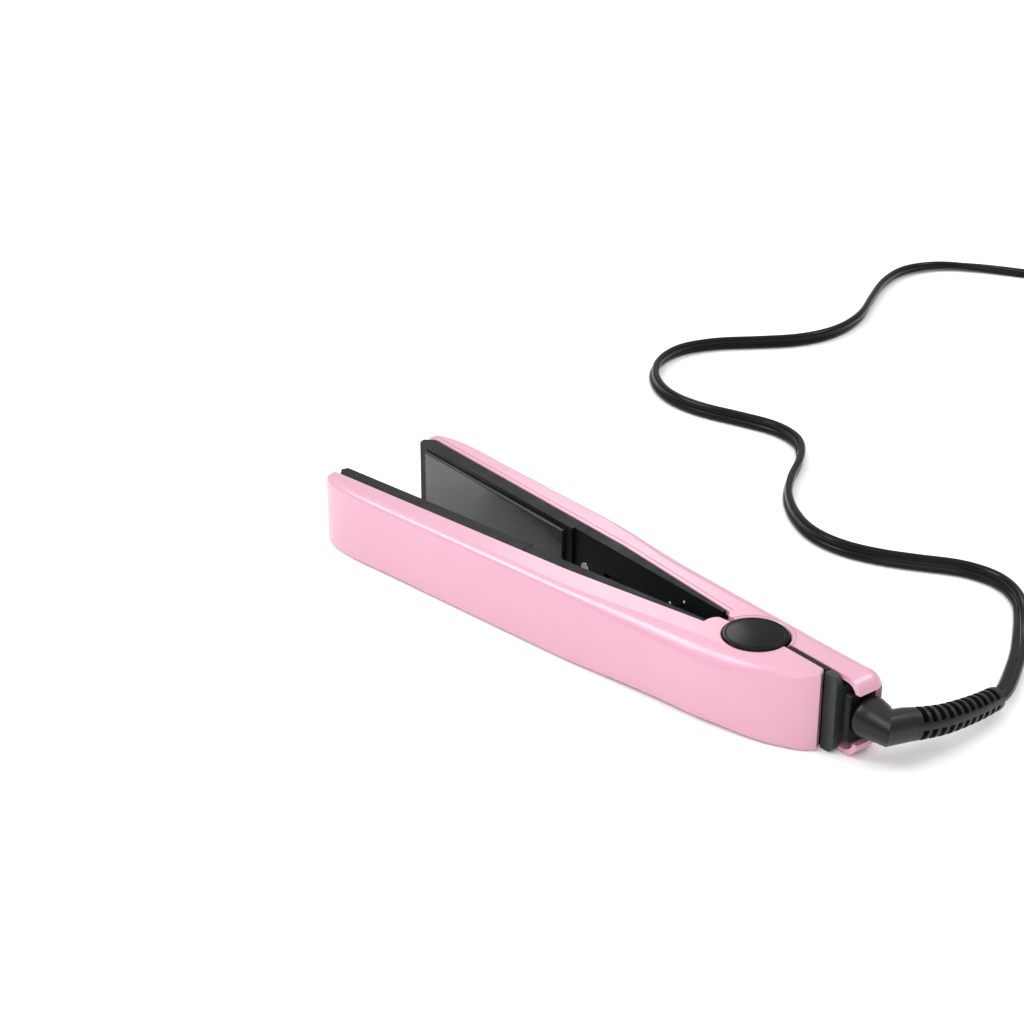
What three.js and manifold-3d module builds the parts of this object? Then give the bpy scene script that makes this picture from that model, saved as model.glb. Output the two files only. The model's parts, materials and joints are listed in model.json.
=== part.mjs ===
// A hair flat iron that lies open on its side, with its cord put away in a coil.
// Frame, millimetres: origin on the hinge axis, in the plane that the iron lies on.
// +X runs from the hinge to the tip along the rear arm, +Y from the rear arm to the front arm,
// +Z up the hinge axis. The rear arm carries the cord.
// Each arm is built with its outer wall at -Y; the front arm is then mirrored and turned.
import * as THREE from 'three';
import { mergeVertices } from 'three/addons/utils/BufferGeometryUtils.js';
import Module from 'manifold-3d';

const wasm = await Module();
wasm.setup();

// ---- driving dimensions ----
const WIDTH = 30; // housing width, the height of the iron as it lies
const ARM_DEPTH = 20.3; // mid-plane to the outer wall of an arm
const TIP_X = 206; // hinge axis to the tip
const REAR_TAIL = 46.4; // hinge axis to the end of the rear arm
const REAR_CORNER = 8;
const FRONT_TAIL = 31.4; // hinge axis to the rim at the end of the front arm
const OPEN_ANGLE = THREE.MathUtils.degToRad(9.8); // angle between the arms at rest
const WALL = 2; // shell wall
const LONG_ROUND = 7; // round of the long outer edges
const END_ROUND = 2.6; // round of the edges at the tip and the tail
const TAPER_X = 70; // the arm grows slimmer from here to the tip
const TAPER = THREE.MathUtils.degToRad(1.55);
const GAP = 0.3; // clearance between pieces that touch
const FACE = 2.6; // mid-plane to the inner face of a liner
const FAR = 30; // reach of the cutting blocks past the mid-plane
const MID_Z = WIDTH / 2;
const THROUGH = [-1, WIDTH + 1]; // height of a cut that goes right through

const CAP_RADIUS = 12;
const CAP_PROUD = 0.9; // the upper cap stands out of the housing
const CAP_HOLE = 12.6; // round recess in both shells
const BARREL_RADIUS = 10.5;
const BARREL_ROOM = 11;
const PIN_RADIUS = 2.5;
const PIN_HOLE = 2.8;
const BARREL = { lower: [2.1, 8.9], middle: [10, 20], upper: [21.1, 27.9] };
const SPRING = { radius: 4.6, wire: 0.5, turns: 4, from: 13.9, to: 19.1, pocket: 6.4 };
const STRIP = [2.8, 4.9]; // depth of the liner behind the hinge, from the mid-plane

const PLATE = { from: 108, to: 198, low: 2.5, high: 27.5, face: 0.2, back: 2.7 };
const HEATER = { from: 112, to: 192, low: 8, high: 22, face: 3, back: 5.4 };
const CARRIER = { from: 103.4, to: 204.2, face: 1.4, back: 7.5 };
const TRAY = { from: 106, to: 195.5, low: 3.4, high: 26.6, back: 12.6 };
const SCREW_X = [28, 97];
const SCREW = { head: 2.3, headHole: 2.6, shank: 1.15, bore: 1.5, post: 3.2 };
const DIAL_X = 40;
const DIAL_RADIUS = 7.4;
const LENS_X = 62;
const SWITCH_X = 80;
const SWITCH_TRAVEL = 3;

const SWIVEL_Y = -10.4; // axis of the cord swivel, along X
const SWIVEL_Z = 15.5;
const ELBOW_X = -55.2;
const ELBOW_RADIUS = 6.3;

const CORD_WIDTH = 6.6; // flat twin cord
const CORD_THICK = 3.4;
const COIL = { x: 217.7, y: -473.3, inner: 31.6, outer: 45.2, low: 0.9, high: 11.6 };
const TIE_ANGLE = THREE.MathUtils.degToRad(-20);
const PLUG_ANGLE = THREE.MathUtils.degToRad(-8);
const PLUG = { x: 211, y: -524.8, high: 17.6, blade: 6.35 };

// Centre line of the strain relief, from the elbow to its thin end.
const RELIEF_ROUTE = [
  [-55.6, -17.6, 14.3],
  [-57.0, -27, 12.5],
  [-57.4, -36, 10.9],
  [-56.2, -52, 8.6],
  [-54.3, -63.4, 7.0],
];
// Centre line of the cord from the strain relief to the coil.
const CORD_ROUTE = [
  [-54.2, -64.2, 6.9],
  [-53.3, -68.3, 6.2],
  [-50.3, -74.6, 5.3],
  [-45.6, -82.4, 4.4],
  [-40, -91, 3.5],
  [-33.6, -100.5, 2.7],
  [-25.8, -110.4, 2.1],
  [-15.3, -122.6, 1.9],
  [-5.7, -132.1, 1.9],
  [9, -138, 1.9],
  [25, -134.5, 1.9],
  [38, -125, 1.9],
  [51, -116, 1.9],
  [66, -109.5, 1.9],
  [82, -108.5, 1.9],
  [98, -114, 1.9],
  [113, -124, 1.9],
  [125, -137, 1.9],
  [137, -154, 1.9],
  [151, -166, 1.9],
  [167, -168.5, 1.9],
  [185, -163, 1.9],
  [204, -156, 1.9],
  [223, -154.5, 1.9],
  [242, -161.5, 1.9],
  [257, -176, 1.9],
  [263.5, -195, 1.9],
  [259, -214, 1.9],
  [248, -232, 1.9],
  [238, -251, 1.9],
  [235.5, -271, 1.9],
  [242, -294, 1.9],
  [257, -318, 1.9],
  [270, -340, 1.9],
  [277, -362, 1.9],
  [272.5, -383, 1.9],
  [258, -398, 1.9],
  [239, -410.5, 1.9],
  [217.2, -424.1, 1.9],
];
// Centre line of the short run from the coil down to the plug.
const PLUG_LEAD_ROUTE = [
  [178.6, -505.4, 7.0],
  [183.5, -511, 6.4],
  [190.5, -516.8, 6.0],
  [199, -521.2, 6.2],
  [208.2, -524.2, 7.6],
];

// ---- solids ----
function solid(geometry) {
  const bare = geometry.clone();
  bare.deleteAttribute('normal');
  bare.deleteAttribute('uv');
  const merged = mergeVertices(bare, 1e-4);
  const vertProperties = new Float32Array(merged.attributes.position.array);
  const triVerts = new Uint32Array(merged.index.array);
  return new wasm.Manifold(new wasm.Mesh({ numProp: 3, vertProperties, triVerts }));
}

function geometryOf(manifold) {
  const mesh = manifold.getMesh();
  const geometry = new THREE.BufferGeometry();
  geometry.setAttribute('position', new THREE.BufferAttribute(mesh.vertProperties, 3));
  geometry.setIndex(new THREE.BufferAttribute(mesh.triVerts, 1));
  return geometry;
}

function join(first, ...others) {
  return geometryOf(others.reduce((whole, other) => whole.add(solid(other)), solid(first)));
}

function cut(first, ...tools) {
  return geometryOf(tools.reduce((whole, tool) => whole.subtract(solid(tool)), solid(first)));
}

function common(first, ...others) {
  return geometryOf(others.reduce((whole, other) => whole.intersect(solid(other)), solid(first)));
}

function mirrored(geometry) {
  const copy = geometry.index ? geometry.clone() : mergeVertices(geometry);
  copy.scale(1, -1, 1);
  const order = copy.index.array;
  for (let i = 0; i < order.length; i += 3) {
    [order[i], order[i + 1]] = [order[i + 1], order[i]];
  }
  return copy;
}

function box([x0, x1], [y0, y1], [z0, z1]) {
  const geometry = new THREE.BoxGeometry(x1 - x0, y1 - y0, z1 - z0);
  return geometry.translate((x0 + x1) / 2, (y0 + y1) / 2, (z0 + z1) / 2);
}

function rodZ(radius, [z0, z1], sides = 32) {
  const rod = new THREE.CylinderGeometry(radius, radius, z1 - z0, sides);
  return rod.rotateX(Math.PI / 2).translate(0, 0, (z0 + z1) / 2);
}

function rodY(radius, [y0, y1], x, z, sides = 20) {
  return new THREE.CylinderGeometry(radius, radius, y1 - y0, sides).translate(x, (y0 + y1) / 2, z);
}

function rodX(radius, [x0, x1], y, z, sides = 16) {
  const rod = new THREE.CylinderGeometry(radius, radius, x1 - x0, sides);
  return rod.rotateZ(Math.PI / 2).translate((x0 + x1) / 2, y, z);
}

function polygon(points) {
  return new THREE.Shape(points.map(([x, y]) => new THREE.Vector2(x, y)));
}

function prismZ(shape, [z0, z1], round = 0) {
  const options = { depth: z1 - z0 - 2 * round, curveSegments: 10, bevelEnabled: round > 0 };
  Object.assign(options, { bevelThickness: round, bevelSize: round, bevelOffset: -round, bevelSegments: 3 });
  return new THREE.ExtrudeGeometry(shape, options).translate(0, 0, z0 + round);
}

// Extrudes a shape drawn in Y and Z along X.
function prismX(shape, [x0, x1]) {
  const alongX = new THREE.Matrix4().makeBasis(
    new THREE.Vector3(0, 1, 0),
    new THREE.Vector3(0, 0, 1),
    new THREE.Vector3(1, 0, 0),
  );
  const options = { depth: x1 - x0, curveSegments: 8, bevelEnabled: false };
  return new THREE.ExtrudeGeometry(shape, options).applyMatrix4(alongX).translate(x0, 0, 0);
}

function curveThrough(points) {
  const places = points.map(([x, y, z]) => new THREE.Vector3(x, y, z));
  return new THREE.CatmullRomCurve3(places, false, 'centripetal');
}

// Bends a geometry that was turned about the Y axis, so that its axis follows a curve.
function bentAlong(geometry, curve) {
  const bent = geometry.clone();
  const place = bent.attributes.position;
  const length = curve.getLength();
  for (let i = 0; i < place.count; i += 1) {
    const along = THREE.MathUtils.clamp(place.getY(i) / length, 0, 1);
    const tangent = curve.getTangentAt(along);
    const side = tangent.clone().cross(new THREE.Vector3(0, 0, 1)).normalize();
    const up = side.clone().cross(tangent);
    const point = curve.getPointAt(along);
    point.addScaledVector(side, place.getX(i)).addScaledVector(up, place.getZ(i));
    place.setXYZ(i, point.x, point.y, point.z);
  }
  return bent;
}

function turned(profile, sides) {
  return new THREE.LatheGeometry(profile.map(([radius, along]) => new THREE.Vector2(radius, along)), sides);
}

// A flat cord, round at both edges, with its width level.
function flatCord(points, steps) {
  const edge = CORD_THICK / 2;
  const reach = CORD_WIDTH / 2 - edge;
  const section = new THREE.Shape();
  section.absarc(0, reach, edge, 0, Math.PI, false);
  section.absarc(0, -reach, edge, Math.PI, 2 * Math.PI, false);
  const extrudePath = curveThrough(points);
  return new THREE.ExtrudeGeometry(section, { steps, extrudePath, curveSegments: 3, bevelEnabled: false });
}

// ---- arm shells ----
// Cross-section of an arm: square past the mid-plane, round at the two long outer edges.
function armSection(inset) {
  const outer = -ARM_DEPTH + inset;
  const radius = LONG_ROUND - inset;
  const top = WIDTH - inset;
  const section = new THREE.Shape();
  section.moveTo(FAR, inset);
  section.lineTo(FAR, top);
  section.absarc(outer + radius, top - radius, radius, Math.PI / 2, Math.PI, false);
  section.absarc(outer + radius, inset + radius, radius, Math.PI, 1.5 * Math.PI, false);
  return section;
}

function nose(outline, inset) {
  outline.moveTo(TIP_X - inset, FAR);
  outline.lineTo(TIP_X - inset, -8);
  outline.quadraticCurveTo(TIP_X - inset, -17 + inset, 184, -18 + inset);
  outline.lineTo(170, -22);
}

function rearOutline(inset) {
  const corner = REAR_CORNER - inset;
  const outline = new THREE.Shape();
  nose(outline, inset);
  outline.lineTo(0, -22);
  const [end, outer] = [-REAR_TAIL + inset, -ARM_DEPTH + inset];
  outline.lineTo(-30, outer);
  outline.absarc(end + corner, outer + corner, corner, 1.5 * Math.PI, Math.PI, true);
  outline.lineTo(end, FAR);
  return outline;
}

function frontOutline(inset) {
  const outline = new THREE.Shape();
  nose(outline, inset);
  outline.lineTo(16, -ARM_DEPTH + inset);
  outline.bezierCurveTo(-4, -ARM_DEPTH + inset, -27 + inset, -15.5 + inset, -33 + inset, -6.8);
  outline.lineTo(-FRONT_TAIL + inset, tailRim(-FRONT_TAIL));
  outline.lineTo(-FRONT_TAIL + inset, FAR);
  return outline;
}

// The whole arm without its inner side, shrunk on every face by the inset.
function armBlank(outlineOf, inset) {
  const reach = [-60, 220];
  const straight = prismX(armSection(inset), reach);
  const tapered = prismX(armSection(inset), reach);
  tapered.translate(-TAPER_X, ARM_DEPTH, 0).rotateZ(TAPER).translate(TAPER_X, -ARM_DEPTH, 0);
  const round = inset > 0 ? 0 : END_ROUND;
  return common(prismZ(outlineOf(inset), [inset, WIDTH - inset], round), straight, tapered);
}

// Edge of a shell towards the other arm, forward of the hinge.
const FORWARD_RIM = [[62, -6.85], [80, -7.8], [230, -7.8], [230, FAR], [-60, FAR]];
const REAR_RIM = [
  [-60, -5.2], [-12, -5.2], [-12, -2.1], [15.9, -2.1], [17.8, -4.4], ...FORWARD_RIM,
];

// The front arm's tail lies along the rear liner when the iron is open.
function tailRim(x) {
  return (STRIP[0] - GAP + x * Math.sin(OPEN_ANGLE)) / Math.cos(OPEN_ANGLE);
}

const FRONT_RIM = [
  [-60, tailRim(-60)], [0, tailRim(0)], [0, 1.7], [17.2, 1.7], [18.6, 0.2], [19.2, -2], [19.2, -4.4],
  ...FORWARD_RIM,
];

function screwPost(x) {
  const outer = -ARM_DEPTH + 1 + Math.max(0, x - TAPER_X) * Math.tan(TAPER);
  return rodY(SCREW.post, [outer, linerBack(x) - GAP], x, MID_Z);
}

// Back of the liner at a distance from the hinge.
function linerBack(x) {
  const near = -4.4 - (x - 17.8) * 0.0554;
  const far = -6.85 - (x - 62) * 0.0528;
  return Math.max(x < 62 ? near : far, -7.8) + GAP;
}

function shell(outlineOf, rim, keepOut) {
  const cavity = cut(armBlank(outlineOf, WALL), ...keepOut);
  const innerSide = prismZ(polygon(rim), THROUGH);
  const hollow = cut(armBlank(outlineOf, 0), cavity, innerSide, rodZ(CAP_HOLE, THROUGH, 48));
  const posts = SCREW_X.map((x) => screwPost(x));
  const bores = SCREW_X.map((x) => rodY(SCREW.bore, [-17, 0], x, MID_Z, 12));
  return cut(join(hollow, ...posts), ...bores);
}

function rearShell() {
  const notch = box([-REAR_TAIL - 2, -REAR_TAIL + WALL + 1.4], [-18, 5], [5.9, 25.1]);
  return cut(shell(rearOutline, REAR_RIM, []), notch);
}

function frontShell() {
  const tailWall = polygon([[-60, tailRim(-60) - WALL], [-9, tailRim(-9) - WALL], [-9, FAR], [-60, FAR]]);
  return shell(frontOutline, FRONT_RIM, [prismZ(tailWall, THROUGH)]);
}

// ---- liners with their hinge barrels ----
const LINER_Z = [0.2, WIDTH - 0.2];
const WEB_Z = [2.4, WIDTH - 2.4]; // under the top and bottom walls of the shells
const LINER_CUT = [-9, 0]; // depth of a hole right through a liner

function forwardLiner() {
  const stations = [19.6, 62, 80, 103];
  const back = stations.map((x) => [x, linerBack(x)]);
  const outline = polygon([...back, [103, -FACE], [19.6, -FACE]]);
  const screwHoles = SCREW_X.flatMap((x) => [
    rodY(SCREW.bore, LINER_CUT, x, MID_Z, 12),
    rodY(SCREW.headHole, [-4, 0], x, MID_Z),
  ]);
  return cut(prismZ(outline, LINER_Z), ...screwHoles);
}

function rearLiner() {
  const strip = box([-32.3, -12.9], [-STRIP[1], -STRIP[0]], LINER_Z);
  const web = box([-14, 21], [-STRIP[1] + 0.6, -STRIP[0]], WEB_Z);
  const barrels = [rodZ(BARREL_RADIUS, BARREL.lower), rodZ(BARREL_RADIUS, BARREL.upper)];
  const otherBarrel = rodZ(BARREL_ROOM, [BARREL.lower[1], BARREL.upper[0]]);
  const dialPocket = rodY(DIAL_RADIUS + 0.4, [-4.2, 0], DIAL_X, MID_Z, 32);
  const dialHole = rodY(1.9, LINER_CUT, DIAL_X, MID_Z);
  const lensHole = rodY(1.8, LINER_CUT, LENS_X, MID_Z);
  const switchSlot = box([SWITCH_X - 5.5, SWITCH_X + 5.5], LINER_CUT, [12, 18]);
  const whole = join(forwardLiner(), strip, web, ...barrels);
  return cut(whole, otherBarrel, rodZ(PIN_HOLE, THROUGH), dialPocket, dialHole, lensHole, switchSlot);
}

function frontLiner() {
  const web = box([0, 21], [-STRIP[1] + 0.6, -STRIP[0]], WEB_Z);
  const barrel = rodZ(BARREL_RADIUS, BARREL.middle);
  const otherBarrels = [
    rodZ(BARREL_ROOM, [0, BARREL.middle[0]]),
    rodZ(BARREL_ROOM, [BARREL.middle[1], WIDTH]),
  ];
  const springPocket = rodZ(SPRING.pocket, [SPRING.from - 0.9, WIDTH]);
  return cut(join(forwardLiner(), web, barrel), ...otherBarrels, rodZ(PIN_HOLE, THROUGH), springPocket);
}

// ---- heating end ----
function carrier() {
  const flange = box([CARRIER.from, CARRIER.to], [-CARRIER.back, -CARRIER.face], [0.3, WIDTH - 0.3]);
  const tray = box([TRAY.from, TRAY.to], [-TRAY.back, -CARRIER.back + 0.2], [TRAY.low, TRAY.high]);
  const platePocket = box([PLATE.from - 0.5, PLATE.to + 0.5], [-5, 0], [PLATE.low - 0.5, PLATE.high + 0.5]);
  const trayInside = [[TRAY.from + 2.5, TRAY.to - 2.5], [-TRAY.back + 1.5, 0], [TRAY.low + 2, TRAY.high - 2]];
  const trayRoom = box(...trayInside);
  const leadHole = rodX(1.7, [TRAY.from - 4, TRAY.from + 4], -9.5, 8);
  const tipCorner = prismZ(polygon([[200, -9], [206, -9], [206, 0], [202.6, 0], [204.3, -4]]), THROUGH);
  return cut(join(flange, tray), platePocket, trayRoom, leadHole, tipCorner);
}

function plate() {
  const edge = 1.1;
  const section = new THREE.Shape();
  section.moveTo(-PLATE.back, PLATE.low);
  section.lineTo(-PLATE.back, PLATE.high);
  section.absarc(-PLATE.face - edge, PLATE.high - edge, edge, Math.PI / 2, 0, true);
  section.absarc(-PLATE.face - edge, PLATE.low + edge, edge, 0, -Math.PI / 2, true);
  return prismX(section, [PLATE.from, PLATE.to]);
}

function heater() {
  const slab = box([HEATER.from, HEATER.to], [-HEATER.back, -HEATER.face], [HEATER.low, HEATER.high]);
  const terminals = [10, 18].map((z) => box([HEATER.from - 2, HEATER.from + 3], [-5, -4.2], [z, z + 2]));
  return join(slab, ...terminals);
}

// Arched strip that presses the plate outwards.
function leafSpring(x) {
  const arch = [[0, 0], [3, 0], [6, 3.4], [10, 3.4], [13, 0], [16, 0]];
  const seat = -10.9;
  const thick = 0.5;
  const under = arch.map(([along, rise]) => [x + along, seat + rise]);
  const over = arch.map(([along, rise]) => [x + along, seat + thick + rise]).reverse();
  return prismZ(polygon([...under, ...over]), [10, 20]);
}

// ---- controls and wiring ----
function dial() {
  const y = [-4, -1.6];
  const disc = rodY(DIAL_RADIUS, y, DIAL_X, MID_Z, 32);
  const grip = box([DIAL_X - 6, DIAL_X + 6], [-2, -0.9], [MID_Z - 1.2, MID_Z + 1.2]);
  const shaft = rodY(1.5, [-9.6, -3.8], DIAL_X, MID_Z, 12);
  return join(disc, grip, shaft);
}

function powerSwitch() {
  const from = SWITCH_X - 5;
  const knob = box([from, from + 7], [-7, -2.1], [12.4, 17.6]);
  const ridge = (x) => box([x, x + 0.9], [-2.3, -1.5], [12.9, 17.1]);
  return join(knob, ridge(from + 1.2), ridge(from + 3.1), ridge(from + 5));
}

function lens() {
  const profile = [[0, -6], [1.5, -6], [1.5, -2.5], [1.3, -2.1], [0.8, -1.85], [0, -1.75]];
  return turned(profile, 16).translate(LENS_X, 0, MID_Z);
}

function controlBoard() {
  const board = box([33, 92], [-12.4, -10.8], [4.5, 25.5]);
  const potentiometer = box([DIAL_X - 4.5, DIAL_X + 4.5], [-11, -9.9], [10.5, 19.5]);
  const triac = box([50, 60], [-11, -8.4], [7, 13]);
  const capacitor = rodY(3.2, [-11, -8.2], 67, 19.5);
  const switchBase = box([SWITCH_X - 6, SWITCH_X + 6], [-11, -8.6], [11, 19]);
  return join(board, potentiometer, triac, capacitor, switchBase);
}

function screw(x) {
  const head = rodY(SCREW.head, [-3.9, -FACE - 0.1], x, MID_Z, 18);
  const shank = rodY(SCREW.shank, [-14, -3.7], x, MID_Z, 10);
  const slot = box([x - 1.6, x + 1.6], [-3.2, 0], [MID_Z - 0.35, MID_Z + 0.35]);
  const cross = box([x - 0.35, x + 0.35], [-3.2, 0], [MID_Z - 1.6, MID_Z + 1.6]);
  return cut(join(head, shank), slot, cross);
}

// ---- hinge ----
function upperCap() {
  const top = WIDTH + CAP_PROUD;
  const under = BARREL.upper[1] + GAP;
  const rim = [[CAP_RADIUS, under], [CAP_RADIUS, WIDTH + 0.2], [CAP_RADIUS - 0.4, WIDTH + 0.5]];
  const profile = [[0, under], ...rim, [8, top - 0.15], [4, top], [0, top]];
  return turned(profile, 48).rotateX(Math.PI / 2);
}

function lowerCap() {
  return rodZ(CAP_RADIUS, [0, BARREL.lower[0] - GAP], 48);
}

function washer(z) {
  return cut(rodZ(7, [z, z + 0.5], 24), rodZ(PIN_HOLE, [z - 1, z + 2], 24));
}

class Helix extends THREE.Curve {
  constructor(radius, turns, z0, z1) {
    super();
    Object.assign(this, { radius, turns, z0, z1 });
  }

  getPoint(t, target = new THREE.Vector3()) {
    const angle = 2 * Math.PI * this.turns * t;
    const z = this.z0 + (this.z1 - this.z0) * t;
    return target.set(this.radius * Math.cos(angle), this.radius * Math.sin(angle), z);
  }
}

function hingeSpring() {
  const section = new THREE.Shape().absarc(0, 0, SPRING.wire, 0, 2 * Math.PI, false);
  const extrudePath = new Helix(SPRING.radius, SPRING.turns, SPRING.from, SPRING.to);
  const steps = 14 * SPRING.turns;
  return new THREE.ExtrudeGeometry(section, { steps, extrudePath, curveSegments: 3, bevelEnabled: false });
}

// ---- cord exit ----
function tailBlock() {
  const outside = box([-38.5, -32.6], [-STRIP[1], -1.5], [0, WIDTH]);
  const inside = box([-38.5, -33.6], [-15.8, -STRIP[1] + 0.2], [4.4, WIDTH - 4.4]);
  return cut(join(outside, inside), rodX(2.2, [-40, -30], SWIVEL_Y, SWIVEL_Z));
}

function swivelSocket() {
  const block = box([-44, -41.4], [-15.2, -3], [6.2, 24.8]);
  return cut(block, rodX(4.4, [-46, -40], SWIVEL_Y, SWIVEL_Z, 24));
}

// A collar that runs down to the elbow where the cord turns across.
function swivelBall() {
  const profile = [
    [0, 38.9], [6.1, 38.9], [6.1, 41.1], [4.1, 41.1], [4.1, 44.9], [7, 45], [7.6, 45.6], [7.7, 46.6],
    [7.4, 48.8], [6.8, 52], [6.3, 55.2], [3, 57], [0, 57],
  ];
  const ball = turned(profile, 24).rotateZ(Math.PI / 2).translate(0, SWIVEL_Y, SWIVEL_Z);
  const elbow = new THREE.SphereGeometry(ELBOW_RADIUS, 20, 12).translate(ELBOW_X, SWIVEL_Y, SWIVEL_Z);
  return join(ball, elbow);
}

function strainRelief() {
  const curve = curveThrough(RELIEF_ROUTE);
  const length = curve.getLength();
  const rings = 12;
  const profile = [[0, 0], [5.3, 0]];
  for (let i = 0; i <= rings; i += 1) {
    const share = i / rings;
    profile.push([5.85 - 1.7 * share, 0.8 + (length - 1.4) * share]);
  }
  profile.push([3.6, length], [0, length]);
  return bentAlong(turned(profile, 14), curve);
}

// ---- cord, coil and plug ----
function cordCoil() {
  const { inner, outer, low, high } = COIL;
  const profile = [
    [inner, low + 1], [inner + 1, low], [outer - 1, low], [outer, low + 1],
    [outer, high - 1.5], [outer - 2, high], [inner + 2, high], [inner, high - 1.5], [inner, low + 1],
  ];
  return turned(profile, 40).rotateX(Math.PI / 2).translate(COIL.x, COIL.y, 0);
}

// Band round the coil at the side away from the iron.
function cordTie() {
  const thick = 0.5;
  const bulge = 0.5; // of the coil's curve across the width of the band
  const across = [COIL.inner - bulge - GAP, COIL.outer + GAP];
  const upright = [COIL.low - GAP, COIL.high + GAP];
  const widened = ([from, to]) => [from - thick, to + thick];
  const outside = box(widened(across), [-5, 5], widened(upright));
  const band = cut(outside, box(across, [-6, 6], upright));
  return band.rotateZ(TIE_ANGLE).translate(COIL.x, COIL.y, 0);
}

function plugBody() {
  const profile = new THREE.Shape();
  profile.moveTo(-2, -4.2);
  profile.lineTo(10, -6);
  profile.quadraticCurveTo(18, -12.2, 27, -12.2);
  profile.lineTo(34, -12.2);
  profile.lineTo(34, 12.2);
  profile.lineTo(27, 12.2);
  profile.quadraticCurveTo(18, 12.2, 10, 6);
  profile.lineTo(-2, 4.2);
  return prismZ(profile, [0, PLUG.high], 2.4);
}

function plugBlade(side) {
  const y = side * PLUG.blade;
  return box([34 + GAP, 50.5], [y - 0.75, y + 0.75], [5.6, 12]);
}

function placedPlug(geometry) {
  return geometry.rotateZ(PLUG_ANGLE).translate(PLUG.x, PLUG.y, 0);
}

// ---- assembly ----
const FINISH = {
  pink: [0xf0aed0, 0.2, 0],
  black: [0x151617, 0.45, 0],
  charcoal: [0x2b2f31, 0.55, 0],
  gloss: [0x1d1b1b, 0.12, 0],
  rubber: [0x1a1a1b, 0.6, 0],
  ceramic: [0x2a2d33, 0.25, 0.4],
  aluminium: [0xa8abae, 0.4, 1],
  steel: [0xb9bcc0, 0.3, 1],
  spring: [0x8f9296, 0.35, 1],
  board: [0x1f5c3a, 0.6, 0],
  glass: [0xd9dde0, 0.15, 0],
  silicone: [0xb8402f, 0.6, 0],
  brass: [0xc9a24a, 0.3, 1],
};

function piece(group, name, geometry, finish) {
  const [color, roughness, metalness] = FINISH[finish];
  const mesh = new THREE.Mesh(geometry, new THREE.MeshStandardMaterial({ color, roughness, metalness }));
  mesh.name = name;
  group.add(mesh);
}

const iron = new THREE.Group();

const rearArm = new THREE.Group();
piece(rearArm, 'rear_shell', rearShell(), 'pink');
piece(rearArm, 'rear_liner', rearLiner(), 'black');
piece(rearArm, 'rear_carrier', carrier(), 'black');
piece(rearArm, 'rear_plate', plate(), 'ceramic');
piece(rearArm, 'rear_heater', heater(), 'aluminium');
piece(rearArm, 'temperature_dial', dial(), 'black');
piece(rearArm, 'power_switch', powerSwitch(), 'black');
piece(rearArm, 'indicator_lens', lens(), 'glass');
piece(rearArm, 'control_board', controlBoard(), 'board');
piece(rearArm, 'thermal_fuse', rodX(1.4, [145, 157], -9, MID_Z), 'brass');
piece(rearArm, 'supply_lead', rodX(1.5, [-31.5, 45], -14.6, 22), 'silicone');
piece(rearArm, 'rear_heater_lead', rodX(1.3, [92.4, 109.5], -9.5, 8), 'silicone');

const frontArm = new THREE.Group();
frontArm.rotation.z = OPEN_ANGLE;
piece(frontArm, 'front_shell', mirrored(frontShell()), 'pink');
piece(frontArm, 'front_liner', mirrored(frontLiner()), 'black');
piece(frontArm, 'front_carrier', mirrored(carrier()), 'black');
piece(frontArm, 'front_plate', mirrored(plate()), 'ceramic');
piece(frontArm, 'front_heater', mirrored(heater()), 'aluminium');
piece(frontArm, 'front_heater_lead', mirrored(rodX(1.3, [24, 109.5], -9.5, 8)), 'silicone');
piece(frontArm, 'hinge_spring', hingeSpring(), 'spring');

[118, 168].forEach((x, i) => {
  piece(rearArm, `rear_leaf_spring_${i + 1}`, leafSpring(x), 'spring');
  piece(frontArm, `front_leaf_spring_${i + 1}`, mirrored(leafSpring(x)), 'spring');
});
SCREW_X.forEach((x, i) => {
  piece(rearArm, `rear_screw_${i + 1}`, screw(x), 'steel');
  piece(frontArm, `front_screw_${i + 1}`, mirrored(screw(x)), 'steel');
});

const hinge = new THREE.Group();
piece(hinge, 'hinge_pin', rodZ(PIN_RADIUS, [BARREL.lower[0], BARREL.upper[1]], 24), 'steel');
piece(hinge, 'upper_cap', upperCap(), 'gloss');
piece(hinge, 'lower_cap', lowerCap(), 'gloss');
piece(hinge, 'lower_washer', washer(BARREL.lower[1] + GAP), 'steel');
piece(hinge, 'upper_washer', washer(BARREL.middle[1] + GAP), 'steel');

const cordExit = new THREE.Group();
piece(cordExit, 'tail_block', tailBlock(), 'charcoal');
piece(cordExit, 'swivel_socket', swivelSocket(), 'black');
piece(cordExit, 'swivel_ball', swivelBall(), 'rubber');
piece(cordExit, 'strain_relief', strainRelief(), 'rubber');

const cordSet = new THREE.Group();
piece(cordSet, 'cord', flatCord(CORD_ROUTE, 78), 'rubber');
piece(cordSet, 'cord_coil', cordCoil(), 'rubber');
piece(cordSet, 'cord_tie', cordTie(), 'black');
piece(cordSet, 'plug_lead', flatCord(PLUG_LEAD_ROUTE, 6), 'rubber');
piece(cordSet, 'plug_body', placedPlug(plugBody()), 'rubber');
piece(cordSet, 'plug_blade_1', placedPlug(plugBlade(-1)), 'brass');
piece(cordSet, 'plug_blade_2', placedPlug(plugBlade(1)), 'brass');

iron.add(rearArm, frontArm, hinge, cordExit, cordSet);

export default iron;
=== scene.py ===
import json
import math

import bmesh
import bpy
import numpy as np
from mathutils import Matrix, Vector


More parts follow.
